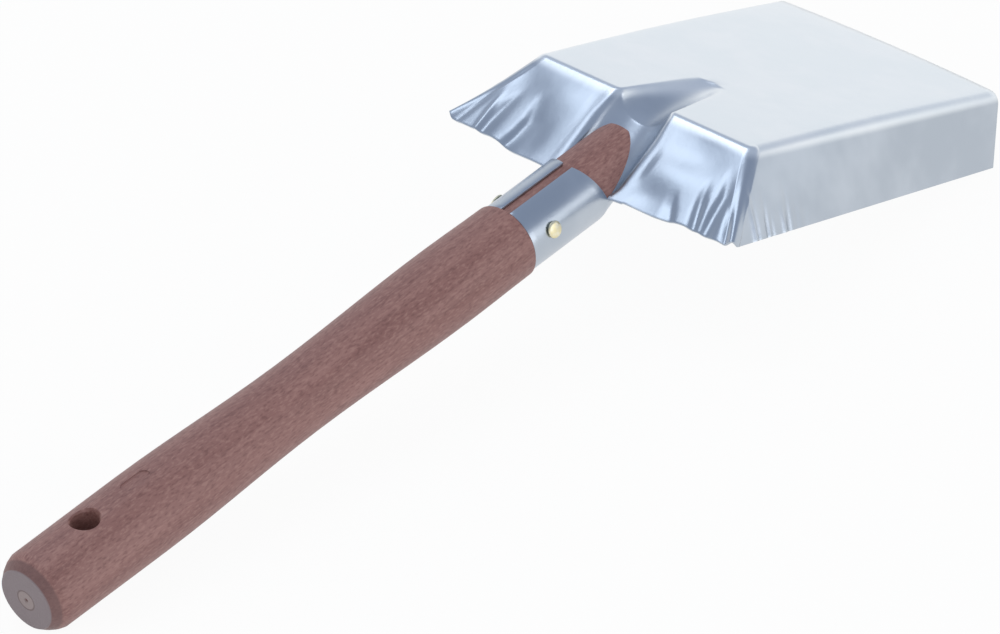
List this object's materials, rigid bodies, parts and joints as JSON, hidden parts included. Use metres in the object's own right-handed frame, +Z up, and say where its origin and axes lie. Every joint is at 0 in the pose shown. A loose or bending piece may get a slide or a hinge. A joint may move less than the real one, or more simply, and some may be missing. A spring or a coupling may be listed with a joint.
{
  "type": "coal shovel",
  "caption": "Small hand coal shovel lying bottom up: box-shaped galvanised sheet pan with flared, gathered rear corners and a rolled socket, on a turned wooden handle pinned by domed nails",
  "frame": {"origin": "centre of the bounding box's footprint on the table, with the shovel lying bottom up on the pan's two front corners and the end of the grip", "axes": "+Z up, +Y from the grip towards the pan's open front, +X to the right seen from the grip"},
  "size_m": [0.1418, 0.4696, 0.0677],
  "materials": {
    "galvanised_steel": "galvanised, semi-gloss on the pressed faces and duller on the walls",
    "stained_wood": "red-brown stained close-grained hardwood, satin",
    "brassed_nail": "pale brass plating, satin"
  },
  "bodies": {
    "root": {"pan": "galvanised_steel", "handle": "stained_wood", "nail_right": "brassed_nail", "nail_left": "brassed_nail"}
  },
  "joints": []
}
